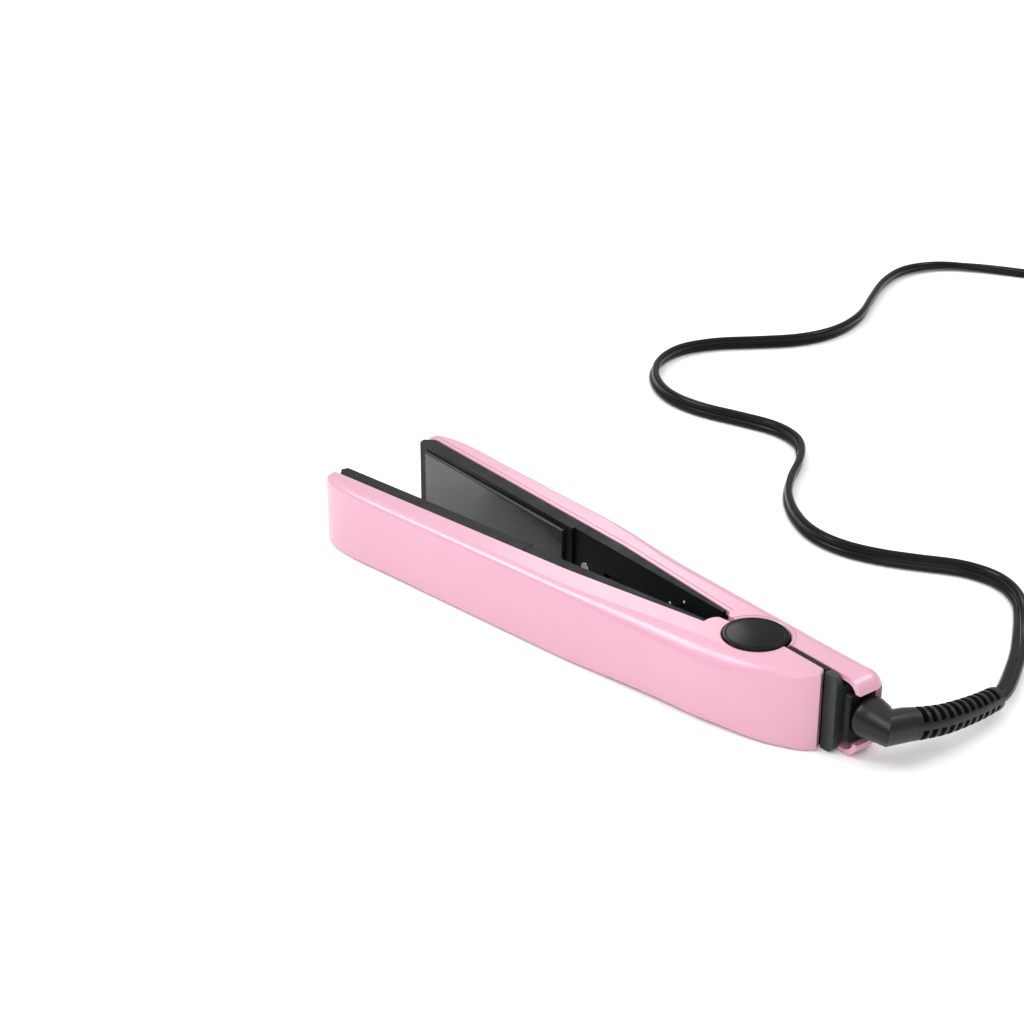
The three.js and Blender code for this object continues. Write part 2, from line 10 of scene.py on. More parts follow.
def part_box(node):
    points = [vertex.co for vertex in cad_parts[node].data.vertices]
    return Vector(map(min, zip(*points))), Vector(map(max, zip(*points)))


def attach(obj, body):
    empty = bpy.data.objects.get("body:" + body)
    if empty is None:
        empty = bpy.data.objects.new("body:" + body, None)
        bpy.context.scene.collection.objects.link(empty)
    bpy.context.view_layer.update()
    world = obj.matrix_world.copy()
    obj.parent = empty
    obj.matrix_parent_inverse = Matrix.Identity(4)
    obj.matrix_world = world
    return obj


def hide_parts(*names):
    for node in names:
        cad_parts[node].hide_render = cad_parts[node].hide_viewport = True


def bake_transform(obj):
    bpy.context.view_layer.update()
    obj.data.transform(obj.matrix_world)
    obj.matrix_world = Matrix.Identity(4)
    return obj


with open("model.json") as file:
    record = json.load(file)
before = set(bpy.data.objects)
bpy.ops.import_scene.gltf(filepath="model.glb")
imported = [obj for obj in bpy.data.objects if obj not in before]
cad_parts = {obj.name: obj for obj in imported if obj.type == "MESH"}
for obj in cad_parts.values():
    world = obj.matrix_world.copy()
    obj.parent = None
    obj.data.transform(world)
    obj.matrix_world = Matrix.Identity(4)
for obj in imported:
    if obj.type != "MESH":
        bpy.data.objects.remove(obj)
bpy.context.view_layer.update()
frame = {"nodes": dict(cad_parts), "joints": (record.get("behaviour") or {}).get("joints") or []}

# A hair flat iron that lies open on its side, in the CAD frame: origin on the hinge axis, +X to the tip,
# +Z up the hinge axis. Lengths are in millimetres until a mesh is made.
MM = 0.001
NODES = frame["nodes"]
JOINTS = {joint["name"]: joint for joint in frame["joints"]}


def low(node):
    """Lowest corner of a CAD node, in millimetres."""
    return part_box(node)[0] / MM


def high(node):
    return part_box(node)[1] / MM


# ---- dimensions ----
OPEN_ANGLE = math.radians(-JOINTS["arm_hinge"]["range_deg"][0])
WIDTH = high("rear_shell").z
MID_Z = WIDTH / 2
ARM_DEPTH = -low("rear_shell").y
TIP_X = high("rear_shell").x
REAR_TAIL = -low("rear_shell").x
FRONT_TAIL = 31.4
WALL = 2
TAPER_X = 70
TAPER = math.radians(1.55)
NOSE_X = 176  # the plain taper ends here and the nose begins
TAIL_CORNER = 8
CAP_RADIUS = high("upper_cap").x
CAP_HOLE = CAP_RADIUS + 0.6
BOSS_RADIUS = 13.9
STRIP = (2.8, 4.9)  # depth of the liner behind the hinge
SWIVEL = Vector((-47.8, -10.4, 15.5))  # centre of the swivel's ball
CORD_WIDTH = 6.6
CORD_THICK = 3.4
COIL = {"x": 217.7, "y": -473.3, "inner": 35.0, "outer": 41.8, "low": 2.6, "step": 3.6}
COIL_START = 122  # degrees: where the cord meets the coil
PLUG = {"x": 211, "y": -524.8, "angle": math.radians(-8)}

# Centre line of the strain relief, from the elbow to its thin end.
RELIEF_ROUTE = [
    (-55.6, -17.6, 14.3), (-57.0, -27, 12.5), (-57.4, -36, 10.9), (-56.2, -52, 8.6),
    (-54.3, -63.4, 7.0),
]
# Centre line of the cord from the strain relief to the coil.
CORD_ROUTE = [
    (-54.2, -64.2, 6.9), (-53.3, -68.3, 6.2), (-50.3, -74.6, 5.3), (-45.6, -82.4, 4.4),
    (-40, -91, 3.5), (-33.6, -100.5, 2.7), (-25.8, -110.4, 2.1), (-15.3, -122.6, 1.9),
    (-5.7, -132.1, 1.9), (9, -138, 1.9), (25, -134.5, 1.9), (38, -125, 1.9),
    (51, -116, 1.9), (66, -109.5, 1.9), (82, -108.5, 1.9), (98, -114, 1.9),
    (113, -124, 1.9), (125, -137, 1.9), (137, -154, 1.9), (151, -166, 1.9),
    (167, -168.5, 1.9), (185, -163, 1.9), (204, -156, 1.9), (223, -154.5, 1.9),
    (242, -161.5, 1.9), (257, -176, 1.9), (263.5, -195, 1.9), (259, -214, 1.9),
    (248, -232, 1.9), (238, -251, 1.9), (235.5, -271, 1.9), (242, -294, 1.9),
    (257, -318, 1.9), (270, -340, 1.9), (277, -362, 1.9), (272.5, -383, 1.9),
    (258, -398, 1.9), (239, -410.5, 1.9), (217.2, -424.1, 1.9),
]
# Centre line of the short run from the coil down to the plug.
PLUG_LEAD_ROUTE = [
    (178.6, -505.4, 7.0), (183.5, -511, 6.4), (190.5, -516.8, 6.0), (199, -521.2, 6.2),
    (208.2, -524.2, 7.6),
]


# ---- camera ----
CAMERA = {"lens": 80.6, "sensor": 36, "place": (-501.6, 486.3, 417), "look": (0.7154, -0.5430, -0.4398)}


def add_camera():
    data = bpy.data.cameras.new("camera")
    data.lens = CAMERA["lens"]
    data.sensor_width = CAMERA["sensor"]
    camera = bpy.data.objects.new("camera", data)
    camera.location = Vector(CAMERA["place"]) * MM
    camera.rotation_euler = Vector(CAMERA["look"]).to_track_quat("-Z", "Y").to_euler()
    bpy.context.scene.collection.objects.link(camera)
    bpy.context.scene.camera = camera


add_camera()


# ---- mesh helpers ----
SAME_PLACE = 1e-7  # metres: points nearer than this are one point


def piece(name, vertices, faces):
    mesh = bpy.data.meshes.new(name)
    mesh.from_pydata([tuple(c * MM for c in v) for v in vertices], [], faces)
    mesh.validate()
    obj = bpy.data.objects.new(name, mesh)
    bpy.context.scene.collection.objects.link(obj)
    work = bmesh.new()
    work.from_mesh(mesh)
    bmesh.ops.remove_doubles(work, verts=work.verts, dist=SAME_PLACE)
    bmesh.ops.recalc_face_normals(work, faces=work.faces)
    work.to_mesh(mesh)
    work.free()
    return obj


def walls(count, pairs):
    """Quads between closed loops of count points; each pair says which loop meets which."""
    faces = []
    for first, second in pairs:
        here, there = first * count, second * count
        for i in range(count):
            j = (i + 1) % count
            faces.append((here + i, here + j, there + j, there + i))
    return faces


def stacked(name, loops):
    """Joins closed loops of equally many points into one closed solid."""
    count = len(loops[0])
    vertices = [point for loop in loops for point in loop]
    sides = walls(count, [(level, level + 1) for level in range(len(loops) - 1)])
    last = tuple(range(len(vertices) - count, len(vertices)))
    return piece(name, vertices, [tuple(range(count)), *sides, last])


def looped(name, loops):
    """Joins closed loops into a ring: the last one meets the first."""
    pairs = [(level, (level + 1) % len(loops)) for level in range(len(loops))]
    return piece(name, [point for loop in loops for point in loop], walls(len(loops[0]), pairs))


def prism_z(name, outline, bottom, top):
    return stacked(name, [[(x, y, z) for x, y in outline] for z in (bottom, top)])


def prism_x(name, outline, near, far):
    return stacked(name, [[(x, y, z) for y, z in outline] for x in (near, far)])


def prism_y(name, outline, near, far):
    return stacked(name, [[(x, y, z) for x, z in outline] for y in (near, far)])


def block(name, x, y, z):
    outline = [(x[0], y[0]), (x[1], y[0]), (x[1], y[1]), (x[0], y[1])]
    return prism_z(name, outline, *z)


def circle(radius, sides):
    angles = [2 * math.pi * i / sides for i in range(sides)]
    return [(radius * math.cos(a), radius * math.sin(a)) for a in angles]


def arc(centre, radius, start, end, steps):
    """Points on an arc; the angles are in degrees."""
    angles = np.radians(np.linspace(start, end, steps + 1))
    return [(centre[0] + radius * math.cos(a), centre[1] + radius * math.sin(a)) for a in angles]


def rounded_outline(x, y, radius, steps=6):
    """Corner radii from the low-low corner round through high-low, high-high and low-high."""
    corners = [
        (x[0], y[0], 1, 1, 180), (x[1], y[0], -1, 1, 270), (x[1], y[1], -1, -1, 0), (x[0], y[1], 1, -1, 90),
    ]
    points = []
    for (cx, cy, sx, sy, start), r in zip(corners, radius):
        points += arc((cx + sx * r, cy + sy * r), r, start, start + 90, steps)
    return points


def turned(name, profile, sides, place):
    """Turns (radius, along) points about an axis. The first and the last point are on it.
    place maps (across, across, along) to the frame."""
    vertices = [place(0, 0, profile[0][1])]
    for radius, along in profile[1:-1]:
        vertices += [place(a, b, along) for a, b in circle(radius, sides)]
    vertices.append(place(0, 0, profile[-1][1]))
    rings = len(profile) - 2
    faces = []
    for i in range(sides):
        j = (i + 1) % sides
        faces.append((0, 1 + j, 1 + i))
        for ring in range(rings - 1):
            here = 1 + ring * sides
            faces.append((here + i, here + j, here + sides + j, here + sides + i))
        last = 1 + (rings - 1) * sides
        faces.append((last + i, last + j, len(vertices) - 1))
    return piece(name, vertices, faces)


def along_x(y, z):
    return lambda a, b, along: (along, y + a, z + b)


def along_y(x, z):
    return lambda a, b, along: (x + a, along, z + b)


def along_z(a, b, along):
    return (a, b, along)


def rod(name, radius, start, end, place, sides=64):
    return turned(name, [(0, start), (radius, start), (radius, end), (0, end)], sides, place)


def settle(obj):
    """Replaces the mesh by what its modifiers make of it."""
    bpy.context.view_layer.update()
    evaluated = obj.evaluated_get(bpy.context.evaluated_depsgraph_get())
    mesh = bpy.data.meshes.new_from_object(evaluated)
    obj.modifiers.clear()
    old = obj.data
    obj.data = mesh
    bpy.data.meshes.remove(old)
    return obj


def combine(obj, others, operation):
    for other in others:
        modifier = obj.modifiers.new("combine", "BOOLEAN")
        modifier.operation = operation
        modifier.solver = "EXACT"
        modifier.object = other
    settle(obj)
    for other in others:
        bpy.data.objects.remove(other)
    return obj


def cut(obj, *others):
    return combine(obj, others, "DIFFERENCE")


def join(obj, *others):
    return combine(obj, others, "UNION")


def soften(obj, width, segments=2, angle=40):
    """Rounds the sharp edges, so that they catch the light."""
    modifier = obj.modifiers.new("edges", "BEVEL")
    modifier.width = width * MM
    modifier.segments = segments
    modifier.limit_method = "ANGLE"
    modifier.angle_limit = math.radians(angle)
    return settle(obj)


def smooth(obj, angle=35):
    """Shades smooth, apart from edges sharper than the angle."""
    work = bmesh.new()
    work.from_mesh(obj.data)
    bmesh.ops.remove_doubles(work, verts=work.verts, dist=SAME_PLACE)
    for face in work.faces:
        face.smooth = True
    for edge in work.edges:
        edge.smooth = len(edge.link_faces) == 2 and edge.calc_face_angle() < math.radians(angle)
    work.to_mesh(obj.data)
    work.free()
    weighted = obj.modifiers.new("normals", "WEIGHTED_NORMAL")
    weighted.keep_sharp = True
    return obj


def to_front(obj):
    """Moves a piece built on the rear arm's side to the front arm, open by the rest angle."""
    obj.data.transform(Matrix.Rotation(OPEN_ANGLE, 4, "Z") @ Matrix.Scale(-1, 4, (0, 1, 0)))
    obj.data.flip_normals()
    return obj


# ---- routes ----
SAMPLES = 24  # between two points of a route, before it is spaced evenly


def curve_through(points, spacing):
    """Centripetal Catmull-Rom curve through the points, evenly spaced."""
    pts = [np.array(p, float) for p in points]
    pts = [2 * pts[0] - pts[1], *pts, 2 * pts[-1] - pts[-2]]
    dense = []
    for i in range(len(pts) - 3):
        p = pts[i:i + 4]
        knots = np.cumsum([0, *(math.sqrt(np.linalg.norm(b - a)) for a, b in zip(p, p[1:]))])
        for t in np.linspace(knots[1], knots[2], SAMPLES, endpoint=False):
            first = [between(p[k], p[k + 1], knots[k], knots[k + 1], t) for k in range(3)]
            second = [between(first[k], first[k + 1], knots[k], knots[k + 2], t) for k in range(2)]
            dense.append(between(*second, knots[1], knots[2], t))
    dense.append(pts[-2])
    return evenly(np.array(dense), spacing)


def between(a, b, start, end, t):
    return (a * (end - t) + b * (t - start)) / (end - start)


def ease(value, start, end):
    """0 before start, 1 after end, smooth between; start may be the larger."""
    share = min(1, max(0, (value - start) / (end - start)))
    return share * share * (3 - 2 * share)


def travelled(points):
    return np.concatenate([[0], np.cumsum(np.linalg.norm(np.diff(points, axis=0), axis=1))])


def evenly(points, spacing):
    walked = travelled(points)
    steps = max(2, round(walked[-1] / spacing))
    places = np.linspace(0, walked[-1], steps + 1)
    return np.stack([np.interp(places, walked, points[:, k]) for k in range(3)], axis=1)


def frames_along(path):
    """Level sideways and upright directions for each point of a path."""
    tangent = np.gradient(path, axis=0)
    tangent /= np.linalg.norm(tangent, axis=1)[:, None]
    side = np.cross(tangent, (0, 0, 1))
    side /= np.linalg.norm(side, axis=1)[:, None]
    return side, np.cross(side, tangent)


def swept(name, path, section_at):
    """section_at(i) gives the (sideways, upright) points of the loop at the path's point i."""
    side, up = frames_along(path)
    loops = [
        [centre + a * side[i] + b * up[i] for a, b in section_at(i)] for i, centre in enumerate(path)
    ]
    return stacked(name, loops)


# ---- cord ----
CORD_SPACING = 2.0  # between two cross-sections
COIL_STEP = 4  # degrees between two points of the coil
MOST_ROLL = math.radians(78)
ROLL_SWAY, SWAY_LENGTH = 0.07, 38  # share by which the roll varies, and the length of a radian
ROLL_BEGINS, ROLL_REACHED = 8, 115  # from the cord's start
ROLL_LEFT, ROLL_ENDS = 130, 20  # before the coil
GROOVE = (0.28, 1.12)  # half width and half thickness at the bottom of the groove


def coil_path():
    """The turns of the coil: two side by side, two on top of them, and the last part turn above."""
    inner, outer, low_z, step = COIL["inner"], COIL["outer"], COIL["low"], COIL["step"]
    middle = (inner + outer) / 2
    lead = Vector(PLUG_LEAD_ROUTE[0]) - Vector((COIL["x"], COIL["y"], 0))
    lead_radius = math.hypot(lead.x, lead.y)
    second, third = low_z + step, low_z + 2 * step
    # Degrees turned since the cord reached the coil, radius and height.
    stations = [
        (0, outer, low_z), (320, outer, low_z), (360, inner, low_z), (640, inner, low_z),
        (680, inner, second), (960, inner, second), (1000, outer, second), (1280, outer, second),
        (1320, outer, third), (1370, middle, third), (1470, middle, third),
        (1515, lead_radius - 3.2, third - 0.6), (1537, lead_radius, lead.z),
    ]
    points = []
    for (start, r0, z0), (end, r1, z1) in zip(stations, stations[1:]):
        steps = max(2, round((end - start) / COIL_STEP))
        for i in range(steps):
            share = i / steps
            eased = ease(share, 0, 1)
            angle = math.radians(COIL_START + start + (end - start) * share)
            radius = r0 + (r1 - r0) * eased
            x, y = COIL["x"] + radius * math.cos(angle), COIL["y"] + radius * math.sin(angle)
            points.append((x, y, z0 + (z1 - z0) * eased))
    return points


def cord_path():
    run = curve_through(CORD_ROUTE, CORD_SPACING)
    lead = curve_through(PLUG_LEAD_ROUTE, CORD_SPACING)
    whole = evenly(np.array([*run, *coil_path(), *lead]), CORD_SPACING)
    return relaxed(whole, rounds=6)


def relaxed(path, rounds):
    """Evens out small kinks, with the ends held."""
    path = path.copy()
    for _ in range(rounds):
        path[1:-1] = path[1:-1] / 2 + (path[:-2] + path[2:]) / 4
    return path


def cord_rolls(path):
    """A flat cord stands nearly on its edge to bend sideways, and lies flat where it is held."""
    free = travelled(curve_through(CORD_ROUTE, CORD_SPACING))[-1]
    rolls = []
    for s in travelled(path):
        held = ease(s, ROLL_BEGINS, ROLL_REACHED) * ease(s, free - ROLL_ENDS, free - ROLL_LEFT)
        rolls.append(MOST_ROLL * (1 - ROLL_SWAY + ROLL_SWAY * math.cos(s / SWAY_LENGTH)) * held)
    return rolls


def cord_section():
    """Twin round conductors, moulded together with a groove between."""
    edge = CORD_THICK / 2
    reach = CORD_WIDTH / 2 - edge
    half, web = GROOVE
    right = arc((reach, 0), edge, -128, 128, 12)
    left = [(-a, -b) for a, b in right]
    return [*right, (half, web), (-half, web), *left, (-half, -web), (half, -web)]


def rolled(section, angle):
    c, s = math.cos(angle), math.sin(angle)
    return [(a * c - b * s, a * s + b * c) for a, b in section]


def make_cord():
    path = cord_path()
    section = cord_section()
    rolls = cord_rolls(path)
    # A rolled section stands taller, so its middle is higher above the table.
    path[:, 2] += np.sin(rolls) * (CORD_WIDTH - CORD_THICK) / 2
    cord = swept("flat_cord", path, lambda i: rolled(section, rolls[i]))
    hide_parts("cord", "cord_coil", "plug_lead")
    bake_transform(cord)
    return cord, path


flat_cord, flat_cord_path = make_cord()


# ---- arm shells ----
def taper_line(x):
    return -ARM_DEPTH + max(0, x - TAPER_X) * math.tan(TAPER)


def bezier(p0, p1, p2, p3, steps):
    points = []
    for i in range(steps + 1):
        t = i / steps
        weights = ((1 - t) ** 3, 3 * t * (1 - t) ** 2, 3 * t * t * (1 - t), t ** 3)
        points.append(tuple(sum(w * p[k] for w, p in zip(weights, (p0, p1, p2, p3))) for k in range(2)))
    return points


def nose_points():
    """From the inner side round the tip to the long side."""
    side_y = taper_line(NOSE_X)
    return [
        *[(TIP_X, y) for y in (-7.8, -8.6)],
        *bezier((TIP_X, -9), (TIP_X, -14), (197, side_y + 0.55), (NOSE_X, side_y), 26),
    ]


def long_side(to_x, step=4):
    return [(x, taper_line(x)) for x in np.arange(NOSE_X - step, to_x - 0.1, -step)]


def rear_outline():
    corner = (-REAR_TAIL + TAIL_CORNER, -ARM_DEPTH + TAIL_CORNER)
    return [
        *nose_points(),
        *long_side(corner[0] + 3),
        *arc(corner, TAIL_CORNER, 270, 180, 26),
        *[(-REAR_TAIL, y) for y in (-10.5, -9, -7.5, -6.2, -5.2)],
    ]


def front_outline():
    tail_end = tail_rim(-FRONT_TAIL)
    return [
        *nose_points(),
        *long_side(20),
        *bezier((16, -ARM_DEPTH), (-4, -ARM_DEPTH), (-27, -15.5), (-33, -6.8), 44),
        (-32.4, -5.4),
        (-FRONT_TAIL, tail_end),
    ]


def tail_rim(x):
    """The front arm's tail lies along the rear liner when the iron is open."""
    return (STRIP[0] - 0.3 + x * math.sin(OPEN_ANGLE)) / math.cos(OPEN_ANGLE)


FORWARD_RIM = [(62, -6.85), (80, -7.8), (TIP_X, -7.8)]
REAR_RIM = [
    (-REAR_TAIL, -5.2), (-12, -5.2), (-12, -2.1), (15.9, -2.1), (17.8, -4.4), *FORWARD_RIM,
]
FRONT_RIM = [
    (-FRONT_TAIL, tail_rim(-FRONT_TAIL)), (0, tail_rim(0)), (0, 1.7), (17.2, 1.7), (18.6, 0.2), (19.2, -2),
    (19.2, -4.4), *FORWARD_RIM,
]


# Radius of the long outer edges at distances from the hinge.
REAR_ROUND = [(-REAR_TAIL, 6.5), (-36, 7.6), (-20, 8), (56, 8), (104, 3.4), (165, 3.4), (190, 2.6)]
FRONT_ROUND = [(-33, 0.9), (-31.4, 1.0), (-22, 3.4), (4, 8), (8, 8), (80, 3.4), (165, 3.4), (190, 2.6)]
FRONT_UNDER_ROUND = [
    (-33, 0.9), (-31.4, 1.0), (-22, 2.4), (4, 5.4), (30, 6), (80, 3.4), (165, 3.4), (190, 2.6),
]
ROUND_STEPS = 14
LEAST_ROUND = 0.5


def rounded_by(stations, x):
    for (start, first), (end, second) in zip(stations, stations[1:]):
        if x < end:
            return first + (second - first) * ease(x, start, end)
    return stations[-1][1]


def inward(outline, rim_end, rim_start):
    """The outline, and unit directions into the arm; at its ends they follow the inner rim."""
    points = np.array(outline, float)
    along = np.gradient(points, axis=0)
    along /= np.linalg.norm(along, axis=1)[:, None]
    # The outline runs clockwise seen from above, so the arm lies to its right.
    direction = np.stack([along[:, 1], -along[:, 0]], axis=1)
    for index, target in ((0, rim_end), (-1, rim_start)):
        toward = np.array(target, float) - points[index]
        direction[index] = toward / np.linalg.norm(toward)
    return points, direction


def rounded_rings(points, direction, stations, inset):
    """Lines from the upright wall over the rounded edge onto the upper face."""
    radii = np.array([rounded_by(stations, x) for x, _ in points])
    inner_radii = np.maximum(radii - inset, LEAST_ROUND)
    rings = []
    for i in range(ROUND_STEPS + 1):
        turn = math.pi / 2 * i / ROUND_STEPS
        depth = inset + inner_radii * (1 - math.cos(turn))
        height = WIDTH - inset - inner_radii * (1 - math.sin(turn))
        plan = points + direction * depth[:, None]
        rings.append([tuple(p) for p in np.column_stack([plan, height])])
    return rings


def arm_solid(name, outline, rim, rounds, inset=0.0):
    """An arm as one solid block, rounded along its outer edges, shrunk on its outer faces by the inset."""
    points, direction = inward(outline, rim[-2], rim[1])
    upper = rounded_rings(points, direction, rounds[0], inset)
    under = rounded_rings(points, direction, rounds[1], inset)
    lower = [[(x, y, WIDTH - z) for x, y, z in ring] for ring in under]
    levels = [*reversed(lower), *upper]
    count = len(points)
    vertices = [p for level in levels for p in level]
    faces = []
    for level in range(len(levels) - 1):
        here = level * count
        there = here + count
        for i in range(count - 1):
            faces.append((here + i, here + i + 1, there + i + 1, there + i))
    between_ends = rim[1:-1]
    top = len(vertices)
    vertices += [(x, y, WIDTH - inset) for x, y in between_ends]
    bottom = len(vertices)
    vertices += [(x, y, inset) for x, y in between_ends]
    inner = len(between_ends)
    last = (len(levels) - 1) * count
    faces.append((*range(last, last + count), *range(top, top + inner)))
    faces.append((*reversed(range(count)), *reversed(range(bottom, bottom + inner))))
    for i in range(inner - 1):
        faces.append((top + i, top + i + 1, bottom + i + 1, bottom + i))
    tail_column = [level * count + count - 1 for level in range(len(levels))]
    tip_column = [level * count for level in range(len(levels))]
    faces.append((*tail_column, top, bottom))
    faces.append((*reversed(tip_column), bottom + inner - 1, top + inner - 1))
    return piece(name, vertices, faces)


def hollow_solid(outline, rounds):
    """The room inside a shell, open towards the other arm."""
    tail_x, beyond, margin = outline[-1][0], 12, 9
    stretched = [(TIP_X, beyond), *outline[1:-1], (tail_x, beyond)]
    rim = [(tail_x, beyond), (tail_x + margin, beyond), (TIP_X - margin, beyond), (TIP_X, beyond)]
    return arm_solid("room", stretched, rim, rounds, WALL)


def ring_tool(name, inner, outer, bottom, top, sides=128):
    """A flat ring about the hinge axis."""
    loops = [
        [(x, y, z) for x, y in circle(radius, sides)]
        for radius, z in ((inner, bottom), (outer, bottom), (outer, top), (inner, top))
    ]
    return looped(name, loops)


def cap_hole():
    """Recess for both hinge caps, with its two edges broken."""
    lip = 0.45
    profile = [
        (0, -1), (CAP_HOLE + lip, -1), (CAP_HOLE + lip, 0), (CAP_HOLE, lip),
        (CAP_HOLE, WIDTH - lip), (CAP_HOLE + lip, WIDTH), (CAP_HOLE + lip, WIDTH + 1), (0, WIDTH + 1),
    ]
    return turned("cap_hole", profile, 128, along_z)


def groove_beside(name, rim, offset, width, depth):
    """Thin groove that follows a rim on the upper face, at an offset outwards."""
    outer = [(x, y - offset) for x, y in rim]
    inner = [(x, y - offset - width) for x, y in rim]
    return prism_z(name, [*outer, *reversed(inner)], WIDTH - depth, WIDTH + 1)


SCREW_X = (28, 97)
POST_RADIUS = 3.2
POST_BORE = 1.5
POST_GAP = 0.3  # between a post and the liner


def screw_post(x):
    outer = taper_line(x) + 1
    tube = rod("post", POST_RADIUS, outer, liner_back(x) - POST_GAP, along_y(x, MID_Z))
    return cut(tube, rod("bore", POST_BORE, outer + 3, 0, along_y(x, MID_Z), 32))


def liner_back(x):
    """Back of the liner at a distance from the hinge; it follows the forward rim."""
    bend_x, near_slope, far_slope, back = FORWARD_RIM[0][0], 0.0554, 0.0528, 0.3
    near = -4.4 - (x - 17.8) * near_slope
    far = -6.85 - (x - bend_x) * far_slope
    return max(near if x < bend_x else far, -7.8) + back


def shell(name, outline, rim, rounds, keep_out=()):
    skin = arm_solid(name, outline, rim, rounds)
    room = hollow_solid(outline, rounds)
    if keep_out:
        cut(room, *keep_out)
    cut(skin, room)
    join(skin, *[screw_post(x) for x in SCREW_X])
    return cut(skin, cap_hole())


def finish_shell(skin, node, body):
    soften(skin, 0.5, 3, 50)
    smooth(skin if body == "rear_arm" else to_front(skin))
    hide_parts(node)
    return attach(skin, body)


def make_rear_shell():
    skin = shell("rear_housing", rear_outline(), REAR_RIM, (REAR_ROUND, REAR_ROUND))
    window = block("window", (-REAR_TAIL - 2, -REAR_TAIL + WALL + 1.4), (-18, 5), (5.9, 25.1))
    cut(skin, soften(window, 1.8, 5))
    depth = 0.3
    forward = [p for p in REAR_RIM if p[0] > 16]
    seam = groove_beside("seam", forward, offset=1.6, width=0.35, depth=depth)
    boss = ring_tool("boss", BOSS_RADIUS, BOSS_RADIUS + 0.4, WIDTH - depth, WIDTH + 1)
    cut(skin, seam, boss)
    return finish_shell(skin, "rear_shell", "rear_arm")


def make_front_shell():
    far, near = -60, -9  # the wall along the tail is kept out of the hollow
    wall = [(far, tail_rim(far) - WALL), (near, tail_rim(near) - WALL), (near, 14), (far, 14)]
    tail_wall = prism_z("tail_wall", wall, -1, WIDTH + 1)
    rounds = (FRONT_ROUND, FRONT_UNDER_ROUND)
    skin = shell("front_housing", front_outline(), FRONT_RIM, rounds, [tail_wall])
    return finish_shell(skin, "front_shell", "front_arm")


rear_housing = make_rear_shell()
front_housing = make_front_shell()


# ---- hinge cap ----
def make_cap():
    """Low domed cap with a chamfered edge and a fine groove inside it."""
    under, top, r, face = low("upper_cap").z, high("upper_cap").z, CAP_RADIUS, WIDTH
    profile = [
        (0, under), (r - 0.3, under), (r, under + 0.3), (r, face + 0.1), (r - 0.1, face + 0.35),
        (r - 0.35, face + 0.55), (r - 0.7, face + 0.64), (r - 1.5, face + 0.68), (r - 1.65, face + 0.6),
        (r - 1.85, face + 0.6), (r - 2.0, face + 0.7), (r - 3, top - 0.14), (6, top - 0.06), (3, top),
        (0, top),
    ]
    cap = smooth(turned("hinge_cap", profile, 144, along_z), 30)
    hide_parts("upper_cap")
    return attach(cap, "rear_arm")


# ---- controls ----
DIAL_X = 40
DIAL_RADIUS = 7.4
KNURLS = 36
KNURL_DEPTH = 0.32
DOTS = {"ring": 10, "radius": 0.5, "under": -2.66, "face": -2.52, "degrees": range(-60, 241, 50)}


def lobed(radius, depth, lobes, sides):
    angles = [2 * math.pi * i / sides for i in range(sides)]
    radii = [radius - depth * (0.5 - 0.5 * math.cos(lobes * a)) for a in angles]
    return [(r * math.cos(a), r * math.sin(a)) for r, a in zip(radii, angles)]


def make_dial():
    """Knurled temperature wheel with a grip bar across it."""
    rim = lobed(DIAL_RADIUS, KNURL_DEPTH, KNURLS, 8 * KNURLS)
    stations = [(-4, 0.97), (-3.85, 1), (-1.95, 1), (-1.7, 0.97), (-1.6, 0.93)]
    loops = [[(DIAL_X + a * k, y, MID_Z + b * k) for a, b in rim] for y, k in stations]
    wheel = stacked("temperature_wheel", loops)
    right = arc((DIAL_X + 4.8, MID_Z), 1.2, -90, 90, 12)
    left = arc((DIAL_X - 4.8, MID_Z), 1.2, 90, 270, 12)
    bar = soften(prism_y("bar", [*right, *left], -1.8, -0.9), 0.3, 3, 60)
    shaft = rod("shaft", 1.5, -9.6, -3.9, along_y(DIAL_X, MID_Z), 32)
    join(wheel, bar, shaft)
    pointer = block("pointer", (DIAL_X + 2.2, DIAL_X + 5.4), (-1.15, 0), (MID_Z - 0.22, MID_Z + 0.22))
    smooth(cut(wheel, pointer), 40)
    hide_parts("temperature_dial")
    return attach(wheel, "dial")


def make_dial_marks():
    """Ring of printed dots round the wheel."""
    dots = []
    for angle in (math.radians(d) for d in DOTS["degrees"]):
        place = along_y(DIAL_X + DOTS["ring"] * math.cos(angle), MID_Z + DOTS["ring"] * math.sin(angle))
        dots.append(rod("dial_dots", DOTS["radius"], DOTS["under"], DOTS["face"], place, 24))
    marks = join(dots[0], *dots[1:])
    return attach(smooth(marks), "rear_arm")


# ---- cord exit ----
NECK_HOLE = 4.4  # radius of the socket's hole round the swivel's neck


def make_tail_block():
    outside = rounded_outline((-38.5, -32.6), (0, WIDTH), (3.2, 0.5, 0.5, 3.2))
    body = soften(prism_y("cord_block", outside, -STRIP[1], -1.5), 0.5, 3)
    inside = rounded_outline((-15.8, -STRIP[1] + 0.3), (4.4, WIDTH - 4.4), (1.5, 0.3, 0.3, 1.5))
    join(body, prism_x("inside", inside, -38.5, -33.6))
    cut(body, rod("bore", 2.2, -40, -30, along_x(SWIVEL.y, SWIVEL.z), 48))
    smooth(body)
    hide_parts("tail_block")
    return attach(body, "rear_arm")


def make_socket():
    outline = rounded_outline((-15.2, -3), (6.2, 24.8), [1.6] * 4)
    plate = soften(prism_x("cord_socket", outline, -44, -41.4), 0.4, 3)
    cut(plate, rod("bore", NECK_HOLE, -46, -40, along_x(SWIVEL.y, SWIVEL.z), 64))
    smooth(plate)
    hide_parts("swivel_socket")
    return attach(plate, "rear_arm")


